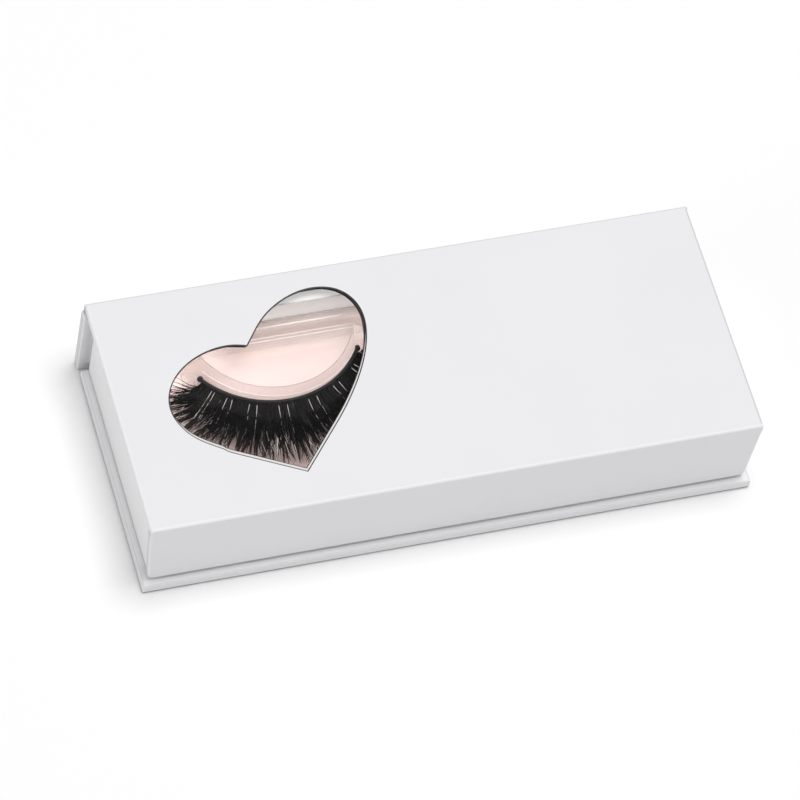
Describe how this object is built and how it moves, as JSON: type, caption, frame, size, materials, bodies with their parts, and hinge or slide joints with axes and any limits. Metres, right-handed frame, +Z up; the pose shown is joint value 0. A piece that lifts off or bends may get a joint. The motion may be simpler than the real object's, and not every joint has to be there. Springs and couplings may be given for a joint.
{
  "type": "false eyelash case",
  "caption": "Flat white board case that opens like a book, with a heart window in its lid, a magnetic front flap and a clear tray of strip lashes inside.",
  "frame": {"origin": "middle of the closed case's underside, on the surface it stands on", "axes": "+X along the case's length, +Y from the flap to the spine, +Z up"},
  "size_m": [0.1112, 0.0482, 0.0185],
  "materials": {
    "case_wrap": "matt laminated",
    "case_lining": "uncoated",
    "greyboard": "raw",
    "clear_film": "clear",
    "magnet": "nickel plated",
    "tray_paper": "matt",
    "pink_card": "satin",
    "clear_tray": "clear",
    "lash_band": "cotton thread",
    "lash_hair": "satin fibre"
  },
  "bodies": {
    "case_base": {"base_board": "greyboard", "base_wrap": "case_wrap", "base_lining": "case_lining", "base_crease": "case_wrap", "tray_floor": "greyboard", "tray_front_wall": "greyboard", "tray_back_wall": "greyboard", "tray_left_wall": "greyboard", "tray_right_wall": "greyboard", "tray_magnets": "magnet", "tray_wrap": "tray_paper", "tray_floor_paper": "tray_paper", "insert_card": "pink_card", "lash_tray": "clear_tray", "lash_band_left": "lash_band", "lash_band_right": "lash_band", "lash_hair_left": "lash_hair", "lash_hair_right": "lash_hair"},
    "spine": {"spine_board": "greyboard", "spine_wrap": "case_wrap", "spine_lining": "case_lining", "lid_crease": "case_wrap"},
    "lid": {"lid_board": "greyboard", "lid_wrap": "case_wrap", "lid_lining": "case_lining", "window_film": "clear_film"},
    "flap": {"flap_board": "greyboard", "flap_wrap": "case_wrap", "flap_lining": "case_lining", "flap_magnets": "magnet", "flap_crease": "case_wrap"}
  },
  "joints": [
    {"name": "spine_fold", "type": "hinge", "parent": "case_base", "child": "spine", "pos_m": [0, 0.02407, 0], "axis": [-1, 0, 0], "range_deg": [0, 90]},
    {"name": "lid_fold", "type": "hinge", "parent": "spine", "child": "lid", "pos_m": [0, 0.02407, 0.01854], "axis": [-1, 0, 0], "range_deg": [0, 90]},
    {"name": "flap_fold", "type": "hinge", "parent": "lid", "child": "flap", "pos_m": [0, -0.02287, 0.01854], "axis": [-1, 0, 0], "range_deg": [0, 90]}
  ],
  "couplings": [
    {"joint": "spine_fold", "follows": "lid_fold", "ratio": 1}
  ]
}
